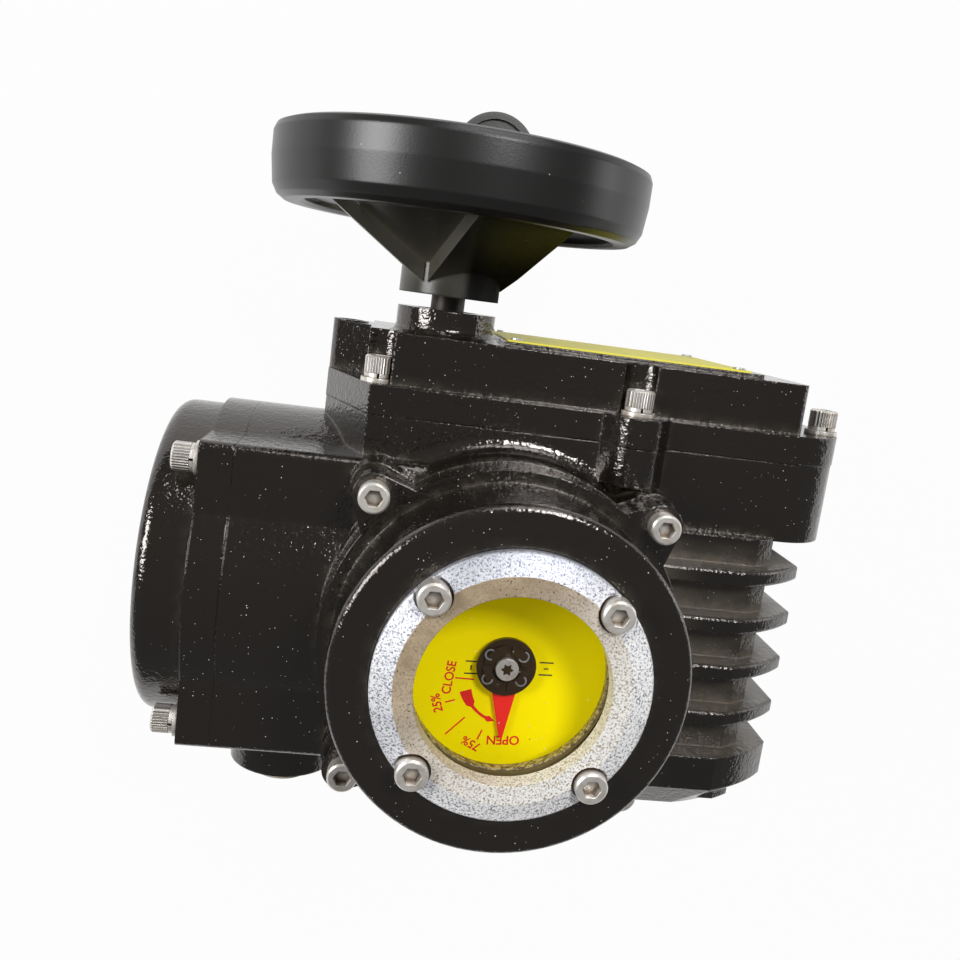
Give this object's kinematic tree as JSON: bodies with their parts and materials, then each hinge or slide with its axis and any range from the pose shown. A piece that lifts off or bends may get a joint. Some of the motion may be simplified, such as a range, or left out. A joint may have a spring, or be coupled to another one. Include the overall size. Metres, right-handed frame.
{
  "type": "rotary electric actuator",
  "caption": "Quarter-turn electric valve actuator with round dial turret, ribbed motor body, round terminal housing and handwheel with folding grip.",
  "frame": {"origin": "middle of the mounting face, on the output axis", "axes": "+Z along the output axis towards the dial, +Y along the handwheel axis, +X towards the ribbed motor body"},
  "size_m": [0.2449, 0.2575, 0.18],
  "materials": {
    "cam_close": "red",
    "cam_open": "white",
    "capacitor": "bare can",
    "dial_cover": "black painted casting",
    "dial_cover_screws": "bare",
    "dial_cover_seal": "black",
    "dial_plate": "yellow",
    "dial_posts": "bare",
    "end_cover": "black painted casting",
    "end_cover_screws": "bare",
    "end_cover_seal": "black",
    "entry_plug": "off-white",
    "flat_washers": "bare",
    "gear_a": "bare",
    "gear_b": "bare",
    "gear_cover": "black painted casting",
    "gear_cover_screws": "bare",
    "gear_pins": "bare",
    "handle_arm": "bare",
    "handle_grip": "black with a grey end disc",
    "handle_pin": "bare",
    "handwheel": "satin black coated",
    "hub_screw": "bare",
    "limit_switches": "black",
    "lug_screw": "bare",
    "main_housing": "black painted casting",
    "motor_bearings": "bare",
    "motor_coils": "lacquered copper",
    "motor_pinion": "bare",
    "motor_rotor": "bare",
    "motor_shields": "bare",
    "motor_stator": "bare",
    "nameplate": "yellow",
    "nameplate_rivets": "bare",
    "output_bushes": "bronze",
    "output_seal": "black",
    "output_shaft": "bare",
    "pointer": "red",
    "pointer_hub": "dark brown",
    "ring_screws": "bare",
    "shaft_bush": "bronze",
    "shaft_carrier": "bare",
    "shaft_seal": "black",
    "spring_rings": "bare",
    "spring_washers": "bare",
    "switch_bracket": "bare",
    "terminal_block": "green",
    "terminal_screws": "bare",
    "terminal_tray": "bare",
    "wheel_key": "bare",
    "wheel_screw": "bare",
    "window_gasket": "black",
    "window_glass": "clear",
    "window_ring": "bare cast",
    "worm_bearings": "bare",
    "worm_gear": "bare",
    "worm_shaft": "bare",
    "worm_wheel": "bronze"
  },
  "bodies": {
    "output": {"output_shaft": "output_shaft", "worm_wheel": "worm_wheel", "wheel_key": "wheel_key", "cam_open": "cam_open", "cam_close": "cam_close", "pointer": "pointer", "pointer_hub": "pointer_hub", "hub_screw": "hub_screw"},
    "worm": {"worm_shaft": "worm_shaft", "worm_gear": "worm_gear", "handwheel": "handwheel", "wheel_screw": "wheel_screw", "handle_pin": "handle_pin"},
    "idler_b": {"gear_b": "gear_b"},
    "idler_a": {"gear_a": "gear_a"},
    "motor": {"motor_rotor": "motor_rotor", "motor_pinion": "motor_pinion"},
    "handle": {"handle_arm": "handle_arm"},
    "grip": {"handle_grip": "handle_grip"},
    "base": {"capacitor": "capacitor", "dial_cover": "dial_cover", "dial_cover_screws": "dial_cover_screws", "dial_cover_seal": "dial_cover_seal", "dial_plate": "dial_plate", "dial_posts": "dial_posts", "end_cover": "end_cover", "end_cover_screws": "end_cover_screws", "end_cover_seal": "end_cover_seal", "entry_plug": "entry_plug", "flat_washers": "flat_washers", "gear_cover": "gear_cover", "gear_cover_screws": "gear_cover_screws", "gear_pins": "gear_pins", "limit_switches": "limit_switches", "lug_screw": "lug_screw", "main_housing": "main_housing", "motor_bearings": "motor_bearings", "motor_coils": "motor_coils", "motor_shields": "motor_shields", "motor_stator": "motor_stator", "nameplate": "nameplate", "nameplate_rivets": "nameplate_rivets", "output_bushes": "output_bushes", "output_seal": "output_seal", "ring_screws": "ring_screws", "shaft_bush": "shaft_bush", "shaft_carrier": "shaft_carrier", "shaft_seal": "shaft_seal", "spring_rings": "spring_rings", "spring_washers": "spring_washers", "switch_bracket": "switch_bracket", "terminal_block": "terminal_block", "terminal_screws": "terminal_screws", "terminal_tray": "terminal_tray", "window_gasket": "window_gasket", "window_glass": "window_glass", "window_ring": "window_ring", "worm_bearings": "worm_bearings"}
  },
  "joints": [
    {"name": "worm_turn", "type": "hinge", "parent": "base", "child": "worm", "pos_m": [-0.0285, 0, 0.09], "axis": [0, 1, 0], "range_deg": [-2520, 0]},
    {"name": "output_turn", "type": "hinge", "parent": "base", "child": "output", "pos_m": [0, 0, 0.09], "axis": [0, 0, 1], "range_deg": [-90, 0]},
    {"name": "idler_b_turn", "type": "hinge", "parent": "base", "child": "idler_b", "pos_m": [-0.00254, 0.05, 0.07951], "axis": [0, 1, 0], "range_deg": [0, 3896]},
    {"name": "idler_a_turn", "type": "hinge", "parent": "base", "child": "idler_a", "pos_m": [0.02831, 0.05, 0.0765], "axis": [0, 1, 0], "range_deg": [-7082, 0]},
    {"name": "motor_turn", "type": "hinge", "parent": "base", "child": "motor", "pos_m": [0.062, 0, 0.067], "axis": [0, 1, 0], "range_deg": [0, 20458]},
    {"name": "handle_fold", "type": "hinge", "parent": "worm", "child": "handle", "pos_m": [-0.019, 0.1605, 0.04], "axis": [-1, 0, 0], "range_deg": [0, 90]},
    {"name": "grip_spin", "type": "hinge", "parent": "handle", "child": "grip", "pos_m": [-0.019, 0.1605, 0.07], "axis": [0, 0, 1], "continuous": true}
  ],
  "couplings": [
    {"joint": "output_turn", "follows": "worm_turn", "ratio": 0.035714},
    {"joint": "idler_b_turn", "follows": "worm_turn", "ratio": -1.5455},
    {"joint": "idler_a_turn", "follows": "worm_turn", "ratio": 2.8099},
    {"joint": "motor_turn", "follows": "worm_turn", "ratio": -8.1175}
  ]
}
